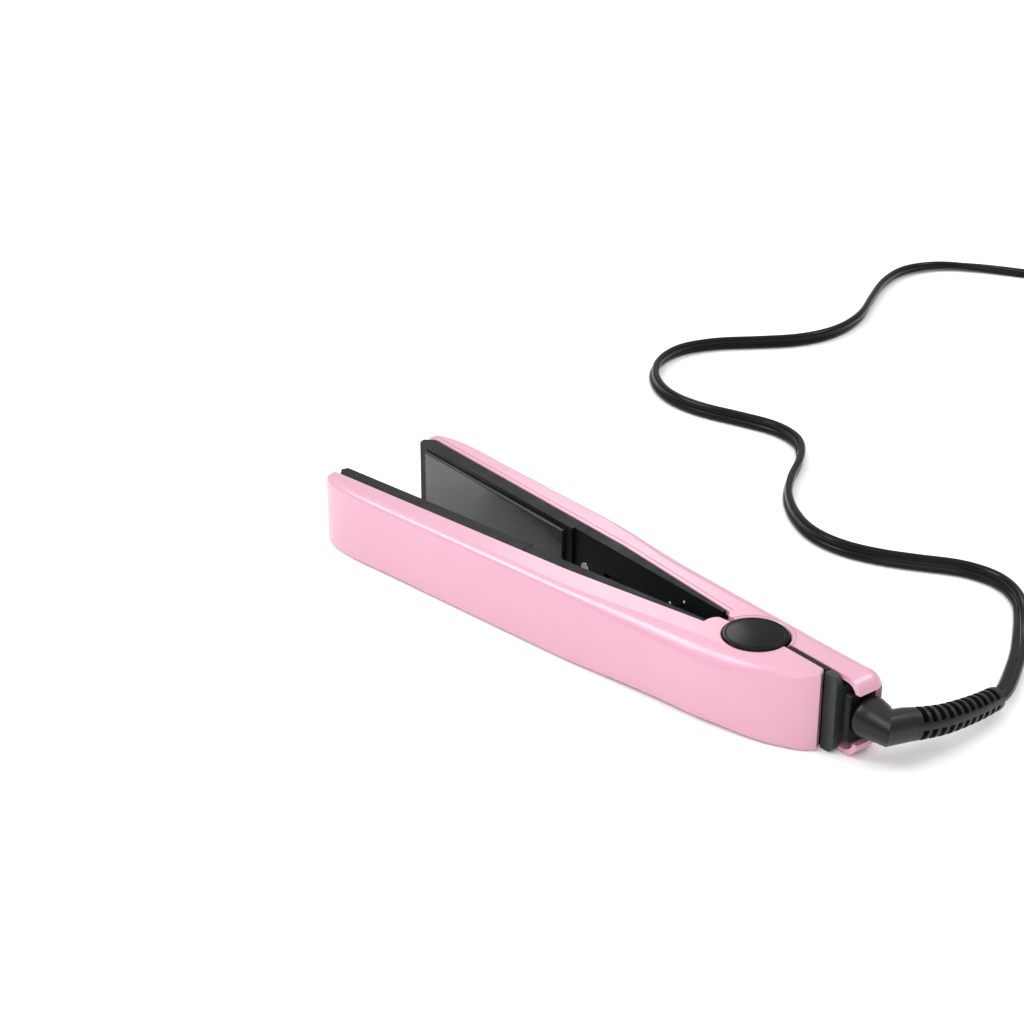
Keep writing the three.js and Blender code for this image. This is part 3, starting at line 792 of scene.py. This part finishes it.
# Radius of the swivel at distances along X: flange, neck, collar and taper down to the elbow.
SWIVEL_PROFILE = [
    (5.9, -38.9), (6.1, -39.1), (6.1, -40.9), (5.9, -41.1), (4.1, -41.1), (4.1, -44.95), (6.8, -44.95),
    (7.35, -45.2), (7.6, -45.7), (7.65, -46.4), (7.5, -47.6), (7.3, -48.6), (7.1, -49.6), (6.9, -50.6),
]
ELBOW = Vector((-55.2, SWIVEL.y, SWIVEL.z))
ELBOW_RADIUS = 6.05


def make_swivel():
    """The taper meets the collar of the strain relief in a mitred elbow."""
    sides = 72
    first = Vector((-1, 0, 0))
    onward = (Vector(RELIEF_ROUTE[0]) - ELBOW).normalized()
    mitre = (first + onward).normalized()
    loops = [[(x, SWIVEL.y + a, SWIVEL.z + b) for a, b in circle(r, sides)] for r, x in SWIVEL_PROFILE]
    corner, last = [], []
    length = (Vector(RELIEF_ROUTE[0]) - ELBOW).length + 0.3
    for a, b in circle(ELBOW_RADIUS, sides):
        point = ELBOW + Vector((0, a, b))
        point += first * ((ELBOW - point).dot(mitre) / first.dot(mitre))
        corner.append(tuple(point))
        last.append(point + onward * (length - (point - ELBOW).dot(onward)))
    end = ELBOW + onward * length
    loops.append(corner)
    end_share = 0.985  # the last loop is drawn in a little
    loops.append([tuple(end + (p - end) * end_share) for p in last])
    elbow = soften(stacked("swivel_elbow", loops), 1.1, 4, 32)
    smooth(elbow, 40)
    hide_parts("swivel_ball")
    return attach(elbow, "swivel")


SLOTS = {"from": 4.0, "pitch": 3.88, "width": 2.35, "count": 11, "depth": 0.46}
SLOT_TURNS = ((30, 178), (210, 362))  # degrees round the relief
SLOT_EDGE = (0.07, 5)  # a slot deepens over this share of the pitch and these degrees
RELIEF_RADII = (5.9, 4.3)
RELIEF_LIP = (0.5, 0.7)  # how far the thin end is rounded in, and over what length


def slot_depth(along, degrees):
    """How far the relief is cut in, from 0 to 1: rows of slots above and below two spines."""
    place = (along - SLOTS["from"]) / SLOTS["pitch"]
    if not 0 <= place < SLOTS["count"]:
        return 0
    width = SLOTS["width"] / SLOTS["pitch"]
    share, degree = SLOT_EDGE
    inside = ease(place % 1, 0, share) * ease(place % 1, width, width - share)
    for start, end in SLOT_TURNS:
        turn = (degrees - start) % 360
        if turn <= end - start:
            return inside * ease(turn, 0, degree) * ease(turn, end - start, end - start - degree)
    return 0


def relief_path():
    """The relief's own route, carried on a little over the start of the cord."""
    start, following = Vector(CORD_ROUTE[0]), Vector(CORD_ROUTE[1])
    return curve_through([*RELIEF_ROUTE, tuple(start + (following - start).normalized())], 0.2)


def make_relief():
    path = relief_path()
    side, up = frames_along(path)
    walked = travelled(path)
    length = walked[-1]
    first, last = RELIEF_RADII
    sides = 96
    loops = []
    for i, centre in enumerate(path):
        along = walked[i]
        outer = first + (last - first) * along / length
        outer -= RELIEF_LIP[0] * ease(along, length - RELIEF_LIP[1], length)
        loop = []
        for j in range(sides):
            turn = 2 * math.pi * j / sides
            radius = outer * (1 - SLOTS["depth"] * slot_depth(along, math.degrees(turn)))
            loop.append(tuple(centre + radius * (math.cos(turn) * side[i] + math.sin(turn) * up[i])))
        loops.append(loop)
    relief = smooth(stacked("ribbed_relief", loops), 38)
    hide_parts("strain_relief")
    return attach(relief, "swivel")


# ---- cord tie and plug ----
def make_tie():
    """Hook-and-loop band round the coil."""
    turn, half = math.radians(-20), 5
    outward = Vector((math.cos(turn), math.sin(turn), 0))
    across = Vector((-math.sin(turn), math.cos(turn), 0))
    centre = Vector((COIL["x"], COIL["y"], 0))
    inside = rounded_outline((30.9, 45.4), (0.7, 11.8), [1.4] * 4, 8)
    outside = rounded_outline((30.3, 46.0), (0.1, 12.4), [2.0] * 4, 8)

    def placed(points, offset):
        return [tuple(centre + outward * r + across * offset + Vector((0, 0, z))) for r, z in points]

    sides = ((outside, -half), (outside, half), (inside, half), (inside, -half))
    band = looped("tie_band", [placed(points, offset) for points, offset in sides])
    smooth(soften(band, 0.12, 2, 60), 40)
    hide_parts("cord_tie")
    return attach(band, "rear_arm")


# Half width, half height and middle height of the plug at distances along it.
PLUG_STATIONS = [
    (-2, 4.0, 3.7, 7.6), (-1.6, 4.3, 4.1, 7.7), (4, 5.0, 5.2, 8.2), (9, 6.0, 6.4, 8.6),
    (13, 7.8, 7.6, 8.8), (17, 10.2, 8.4, 8.8), (22, 11.8, 8.7, 8.8), (27, 12.2, 8.8, 8.8),
    (32.6, 12.2, 8.8, 8.8), (33.6, 11.8, 8.4, 8.8), (34, 11.2, 7.8, 8.8),
]
PLUG_SQUARENESS = 0.45  # 1 is an ellipse, 0 a rectangle
FINGER_RIDGES = (12, 27, 2)  # start, end and the length over which they fade
LEAD_RINGS = (-1, 8)
BLADE_OFFSET = 6.35
BLADE_HALF = 0.75


def plug_place(obj):
    moved = Matrix.Translation(Vector((PLUG["x"], PLUG["y"], 0)) * MM)
    obj.data.transform(moved @ Matrix.Rotation(PLUG["angle"], 4, "Z"))
    return obj


def squared(value):
    return math.copysign(abs(value) ** PLUG_SQUARENESS, value)


def ridge(x, start, half_pitch, depth):
    return depth * max(0, math.sin(math.pi * (x - start) / half_pitch))


def ridged(x):
    """Depth of the finger ridges and of the rings round the lead."""
    start, end, fade = FINGER_RIDGES
    if start < x < end:
        return ridge(x, start, 1.5, 0.5) * ease(x, start, start + fade) * ease(x, end, end - fade)
    start, end = LEAD_RINGS
    return ridge(x, start, 1.1, 0.45) if start < x < end else 0


def make_plug():
    places = np.arange(-2, 34.01, 0.25)
    station_x, *measures = zip(*PLUG_STATIONS)
    columns = [np.interp(places, station_x, measure) for measure in measures]
    loops = []
    for x, w, h, z in zip(places, *columns):
        sunk = ridged(x)
        sunk_aside = sunk if x < 9 else 0.4 * sunk
        loops.append([
            (x, squared(a) * (w - sunk_aside), z + squared(b) * (h - sunk)) for a, b in circle(1, 72)
        ])
    body = smooth(plug_place(stacked("moulded_plug", loops)), 50)
    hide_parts("plug_body")
    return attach(body, "rear_arm")


def make_blade(index, side):
    outline = rounded_outline((34.3, 50.5), (5.6, 12), (0.2, 1.6, 1.6, 0.2))
    y = side * BLADE_OFFSET
    blade = prism_y(f"contact_blade_{index}", outline, y - BLADE_HALF, y + BLADE_HALF)
    cut(blade, rod("hole", 1.5, y - 2, y + 2, along_y(46.8, 8.8), 40))
    smooth(plug_place(soften(blade, 0.25, 2)))
    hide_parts(f"plug_blade_{index}")
    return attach(blade, "rear_arm")


hinge_cap = make_cap()
temperature_wheel = make_dial()
dial_dots = make_dial_marks()
cord_block = make_tail_block()
cord_socket = make_socket()
swivel_elbow = make_swivel()
ribbed_relief = make_relief()
tie_band = make_tie()
moulded_plug = make_plug()
contact_blades = [make_blade(1, -1), make_blade(2, 1)]


# ---- the CAD pieces that are shown as they are ----
EDGE_WIDTH = {
    "rear_liner": 0.3, "front_liner": 0.3, "rear_carrier": 0.35, "front_carrier": 0.35, "rear_plate": 0.25,
    "front_plate": 0.25, "power_switch": 0.35, "lower_cap": 0.4, "rear_heater": 0.3, "front_heater": 0.3,
    "control_board": 0.15, "hinge_pin": 0.3, "thermal_fuse": 0.3,
}
USUAL_EDGE = 0.12
CAD_WELD = 1e-6  # metres


def refine(node, width):
    """Breaks the edges of a CAD piece and shades it, without touching its mesh."""
    obj = NODES[node]
    weld = obj.modifiers.new("weld", "WELD")
    weld.merge_threshold = CAD_WELD
    bevel = obj.modifiers.new("edges", "BEVEL")
    bevel.width = width * MM
    bevel.segments = 3
    bevel.limit_method = "ANGLE"
    bevel.angle_limit = math.radians(40)
    weighted = obj.modifiers.new("normals", "WEIGHTED_NORMAL")
    weighted.keep_sharp = True
    for polygon in obj.data.polygons:
        polygon.use_smooth = True


REPLACED = {
    "rear_shell", "front_shell", "cord", "cord_coil", "plug_lead", "upper_cap", "temperature_dial",
    "tail_block", "swivel_socket", "swivel_ball", "strain_relief", "cord_tie", "plug_body",
    "plug_blade_1", "plug_blade_2",
}
for cad_node in sorted(set(NODES) - REPLACED):
    refine(cad_node, EDGE_WIDTH.get(cad_node, USUAL_EDGE))


# ---- materials ----
class Recipe:
    """A principled material; noise in the object's own space varies its colour, roughness and relief."""

    def __init__(self, name, **constants):
        self.material = bpy.data.materials.new(name)
        self.material.use_nodes = True
        self.tree = self.material.node_tree
        self.shader = self.tree.nodes["Principled BSDF"]
        self.place = self.tree.nodes.new("ShaderNodeTexCoord").outputs["Object"]
        for socket, value in constants.items():
            self.shader.inputs[socket.replace("_", " ")].default_value = value

    def node(self, kind, inputs=None, **settings):
        made = self.tree.nodes.new("ShaderNode" + kind)
        for key, value in settings.items():
            setattr(made, key, value)
        for key, value in (inputs or {}).items():
            if isinstance(value, bpy.types.NodeSocket):
                self.tree.links.new(value, made.inputs[key])
            else:
                made.inputs[key].default_value = value
        return made

    def stretched(self, scale):
        return self.node("Mapping", {"Vector": self.place, "Scale": scale}).outputs["Vector"]

    def noise(self, scale, detail=3.0, roughness=0.55, stretch=None):
        vector = self.stretched(stretch) if stretch else self.place
        inputs = {"Vector": vector, "Scale": scale, "Detail": detail, "Roughness": roughness}
        return self.node("TexNoise", inputs).outputs["Fac"]

    def ranged(self, value, start, end, low_value, high_value):
        inputs = {"Value": value, "From Min": start, "From Max": end}
        inputs |= {"To Min": low_value, "To Max": high_value}
        return self.node("MapRange", inputs).outputs["Result"]

    def spread(self, noise, low_value=0, high_value=1):
        """The span that most noise lies in, stretched to another."""
        return self.ranged(noise, 0.3, 0.7, low_value, high_value)

    def mixed(self, factor, first, second):
        mix = self.node("Mix", data_type="RGBA")
        self.tree.links.new(factor, mix.inputs["Factor"])
        for key, color in (("A", first), ("B", second)):
            socket = next(s for s in mix.inputs if s.name == key and s.type == "RGBA")
            if isinstance(color, bpy.types.NodeSocket):
                self.tree.links.new(color, socket)
            else:
                socket.default_value = (*color, 1)
        return next(s for s in mix.outputs if s.type == "RGBA")

    def color(self, socket):
        self.tree.links.new(socket, self.shader.inputs["Base Color"])

    def roughness(self, socket):
        self.tree.links.new(socket, self.shader.inputs["Roughness"])

    def relief(self, *layers):
        """layers: (height, strength, depth in millimetres), stacked."""
        normal = None
        for height, strength, depth in layers:
            inputs = {"Height": height, "Strength": strength, "Distance": depth * MM}
            if normal is not None:
                inputs["Normal"] = normal
            normal = self.node("Bump", inputs).outputs["Normal"]
        self.tree.links.new(normal, self.shader.inputs["Normal"])
        return self


def shade(color, share):
    return tuple(min(1, c * share) for c in color)


def moulded(name, color, rough, spread, grain, grain_depth, specular=0.5):
    """Moulded plastic or rubber: cloudy colour, uneven gloss, a fine grain and a few handling scuffs."""
    recipe = Recipe(name, Specular_IOR_Level=specular)
    cloud = recipe.noise(55, 4)
    scuffs = recipe.noise(260, 5, 0.7, (0.35, 1.6, 1.6))
    base = recipe.mixed(recipe.ranged(cloud, 0.32, 0.68, 0, 1), shade(color, 0.93), shade(color, 1.07))
    worn = recipe.mixed(recipe.ranged(scuffs, 0.66, 0.8, 0, 0.35), base, shade(color, 1.5))
    recipe.color(worn)
    recipe.roughness(recipe.spread(recipe.noise(120, 5), rough - spread, rough + spread))
    grainy = (recipe.noise(grain, 2), 0.5, grain_depth)
    return recipe.relief(grainy, (recipe.noise(90, 2), 0.25, 0.05)).material


def pink_gloss():
    """Polished pink shell: faintly clouded, softly wavy, a little duller where it has been handled."""
    color = (0.572, 0.285, 0.378)
    recipe = Recipe("pink_gloss", Specular_IOR_Level=0.5, Coat_Weight=0.6, Coat_Roughness=0.2)
    cloud = recipe.noise(24, 3)
    base = recipe.mixed(recipe.spread(cloud), shade(color, 0.98), shade(color, 1.02))
    recipe.color(base)
    # Kept above about 0.28: where the roughness crosses that, the denoiser draws hard-edged patches.
    recipe.roughness(recipe.spread(recipe.noise(75, 4), 0.29, 0.36))
    waves = (recipe.noise(60, 2), 0.1, 0.04)
    return recipe.relief(waves, (recipe.noise(900, 2), 0.05, 0.004)).material


def metal(name, color, rough, stretch):
    """Metal brushed or drawn along one direction."""
    recipe = Recipe(name, Metallic=1.0)
    brushed = recipe.noise(700, 4, 0.6, stretch)
    cloud = recipe.noise(90, 4)
    base = recipe.mixed(recipe.spread(cloud), shade(color, 0.85), shade(color, 1.15))
    recipe.color(base)
    recipe.roughness(recipe.spread(brushed, rough - 0.08, rough + 0.1))
    return recipe.relief((brushed, 0.25, 0.02)).material


def ceramic_coat():
    """Dark ceramic coating with fine mineral specks."""
    recipe = Recipe("ceramic_coat", Metallic=0.25, Coat_Weight=0.4, Coat_Roughness=0.1)
    cells = recipe.node("TexVoronoi", {"Vector": recipe.place, "Scale": 1400.0}).outputs["Distance"]
    specks = recipe.ranged(cells, 0.12, 0.2, 1, 0)
    cloud = recipe.noise(70, 4)
    base = recipe.mixed(recipe.spread(cloud), (0.016, 0.017, 0.02), (0.026, 0.028, 0.032))
    recipe.color(recipe.mixed(specks, base, (0.11, 0.115, 0.125)))
    recipe.roughness(recipe.spread(recipe.noise(900, 4, 0.6, (0.1, 1, 1)), 0.17, 0.27))
    return recipe.relief((recipe.noise(2200, 2), 0.15, 0.01)).material


def circuit_board():
    """Green board with lighter tracks; whatever stands on it is dark."""
    recipe = Recipe("circuit_board", Specular_IOR_Level=0.4)
    tracks = recipe.node("TexBrick", {"Vector": recipe.place, "Scale": 260.0})
    tracks.inputs["Color1"].default_value = (0.02, 0.12, 0.05, 1)
    tracks.inputs["Color2"].default_value = (0.025, 0.16, 0.07, 1)
    tracks.inputs["Mortar"].default_value = (0.12, 0.33, 0.13, 1)
    depth = recipe.node("SeparateXYZ", {"Vector": recipe.place}).outputs["Y"]
    face = (-0.01079, -0.01076)  # metres: the board's face lies between these
    standing = recipe.ranged(depth, *face, 0, 1)
    recipe.color(recipe.mixed(standing, tracks.outputs["Color"], (0.03, 0.03, 0.035)))
    recipe.roughness(recipe.spread(recipe.noise(300, 4), 0.35, 0.55))
    return recipe.relief((recipe.noise(1200, 2), 0.2, 0.02)).material


def woven_tape():
    """Looped pile of hook-and-loop tape; its colour follows the pile's bump, with painted shade in the low
    hollows.
    """
    recipe = Recipe("woven_tape", Sheen_Weight=0.3, Sheen_Roughness=0.5)
    pile = recipe.noise(2600, 5, 0.75)
    weave = recipe.node("TexWave", {"Vector": recipe.place, "Scale": 420.0, "Distortion": 2.5}).outputs["Fac"]
    # Painted shade: where the pile's bump is low the colour is darker, as shade in its hollows.
    shaded_hollow, tips = (0.008, 0.008, 0.009), (0.045, 0.045, 0.048)
    recipe.color(recipe.mixed(recipe.spread(pile), shaded_hollow, tips))
    recipe.roughness(recipe.spread(pile, 0.75, 0.95))
    return recipe.relief((weave, 0.4, 0.12), (pile, 0.7, 0.12)).material


def clear_lens():
    recipe = Recipe("lens_plastic", Transmission_Weight=0.85, IOR=1.49)
    cloud = recipe.noise(200, 3)
    recipe.color(recipe.mixed(recipe.spread(cloud), (0.86, 0.88, 0.9), (0.95, 0.96, 0.97)))
    recipe.roughness(recipe.spread(recipe.noise(700, 3), 0.05, 0.16))
    return recipe.relief((recipe.noise(500, 2), 0.15, 0.02)).material


def print_ink():
    recipe = Recipe("print_ink")
    worn = recipe.ranged(recipe.noise(4000, 4), 0.35, 0.65, 0, 1)
    recipe.color(recipe.mixed(worn, (0.62, 0.62, 0.61), (0.82, 0.82, 0.81)))
    recipe.roughness(recipe.spread(recipe.noise(2500, 3), 0.45, 0.65))
    return recipe.relief((recipe.noise(5000, 2), 0.3, 0.01)).material


MATERIALS = {
    "pink_shell": pink_gloss(),
    "black_plastic": moulded("black_satin", (0.004, 0.0044, 0.005), 0.42, 0.07, 2400, 0.02, 0.16),
    "charcoal": moulded("charcoal_satin", (0.024, 0.030, 0.0315), 0.42, 0.06, 1800, 0.02, 0.3),
    "gloss_black": moulded("gloss_black", (0.0015, 0.0012, 0.0011), 0.15, 0.04, 3000, 0.004, 0.09),
    "black_rubber": moulded("soft_black", (0.0055, 0.0051, 0.0055), 0.33, 0.05, 2600, 0.02, 0.26),
    "cord_vinyl": moulded("vinyl", (0.0045, 0.0042, 0.0042), 0.22, 0.05, 900, 0.03, 0.12),
    "tie": woven_tape(),
    "ceramic": ceramic_coat(),
    "aluminium": metal("cast_aluminium", (0.56, 0.57, 0.58), 0.45, (1, 1, 1)),
    "steel": metal("plated_steel", (0.55, 0.56, 0.57), 0.3, (1, 1, 0.15)),
    "spring_steel": metal("spring_wire", (0.42, 0.43, 0.44), 0.32, (0.2, 1, 1)),
    "brass": metal("nickelled_brass", (0.66, 0.55, 0.32), 0.28, (0.12, 1, 1)),
    "board": circuit_board(),
    "clear_lens": clear_lens(),
    "silicone": moulded("lead_silicone", (0.36, 0.045, 0.03), 0.55, 0.08, 1600, 0.03),
}


def paint(obj, material):
    obj.data.materials.clear()
    obj.data.materials.append(material)
    for polygon in obj.data.polygons:
        polygon.material_index = 0


CAD_NODES_OF = {
    "black_plastic": ("rear_liner", "front_liner", "rear_carrier", "front_carrier", "power_switch"),
    "ceramic": ("rear_plate", "front_plate"),
    "aluminium": ("rear_heater", "front_heater"),
    "clear_lens": ("indicator_lens",),
    "board": ("control_board",),
    "brass": ("thermal_fuse",),
    "silicone": ("supply_lead", "rear_heater_lead", "front_heater_lead"),
    "spring_steel": (
        "hinge_spring", "rear_leaf_spring_1", "rear_leaf_spring_2", "front_leaf_spring_1",
        "front_leaf_spring_2",
    ),
    "steel": (
        "rear_screw_1", "rear_screw_2", "front_screw_1", "front_screw_2", "hinge_pin", "lower_washer",
        "upper_washer",
    ),
    "gloss_black": ("lower_cap",),
}
for slot_name, cad_nodes in CAD_NODES_OF.items():
    for cad_node in cad_nodes:
        paint(NODES[cad_node], MATERIALS[slot_name])

for shown, slot_name in (
    (rear_housing, "pink_shell"), (front_housing, "pink_shell"), (flat_cord, "cord_vinyl"),
    (hinge_cap, "gloss_black"), (temperature_wheel, "black_plastic"), (cord_block, "charcoal"),
    (cord_socket, "black_plastic"), (swivel_elbow, "black_rubber"), (ribbed_relief, "black_rubber"),
    (tie_band, "tie"), (moulded_plug, "cord_vinyl"), *((blade, "brass") for blade in contact_blades),
):
    paint(shown, MATERIALS[slot_name])
paint(dial_dots, print_ink())


# ---- floor and light ----
def add_floor():
    reach, level = 6000, -0.05  # the floor lies just under the parts that stand on it
    corners = [(-reach, -reach), (reach, -reach), (reach, reach), (-reach, reach)]
    floor = piece("floor", [(x, y, level) for x, y in corners], [(0, 1, 2, 3)])
    material = bpy.data.materials.new("floor")
    material.use_nodes = True
    shader = material.node_tree.nodes["Principled BSDF"]
    shader.inputs["Base Color"].default_value = (0.96, 0.96, 0.96, 1)
    shader.inputs["Roughness"].default_value = 0.9
    shader.inputs["Specular IOR Level"].default_value = 0.0
    floor.data.materials.append(material)


def add_light(name, place, target, size, power):
    """A rectangular light; its place, target and size are in metres."""
    data = bpy.data.lights.new(name, "AREA")
    data.shape = "RECTANGLE"
    data.size, data.size_y = size
    data.energy = power
    light = bpy.data.objects.new(name, data)
    light.location = place
    aim = Vector(target) - Vector(place)
    light.rotation_euler = aim.to_track_quat("-Z", "Y").to_euler()
    bpy.context.scene.collection.objects.link(light)


def add_studio():
    """White surroundings, brighter overhead than at the horizon, and four soft lights."""
    horizon, zenith = 0.5, 1.75
    world = bpy.data.worlds.new("studio")
    world.use_nodes = True
    nodes, links = world.node_tree.nodes, world.node_tree.links
    background = nodes["Background"]
    background.inputs["Color"].default_value = (1, 1, 1, 1)
    split = nodes.new("ShaderNodeSeparateXYZ")
    links.new(nodes.new("ShaderNodeTexCoord").outputs["Generated"], split.inputs["Vector"])
    overhead = nodes.new("ShaderNodeMath")
    overhead.operation = "POWER"
    overhead.use_clamp = True
    overhead.inputs[1].default_value = 2
    links.new(split.outputs["Z"], overhead.inputs[0])
    ramp = nodes.new("ShaderNodeMapRange")
    links.new(overhead.outputs["Value"], ramp.inputs["Value"])
    ramp.inputs["To Min"].default_value = horizon
    ramp.inputs["To Max"].default_value = zenith
    links.new(ramp.outputs["Result"], background.inputs["Strength"])
    bpy.context.scene.world = world
    bpy.context.scene.view_settings.view_transform = "Standard"
    add_light("key", (0.75, 0.75, 0.95), (0.05, -0.02, 0), (0.5, 0.65), 8)
    add_light("fill", (-0.7, 1.0, 0.6), (0.05, 0, 0), (0.9, 0.9), 6)
    add_light("back", (0.94, -0.72, 0.68), (0, 0, 0), (0.2, 0.2), 0.45)
    add_light("tail", (-0.17, -0.88, 0.92), (-0.05, -0.04, 0), (0.4, 0.3), 2.2)


add_floor()
add_studio()
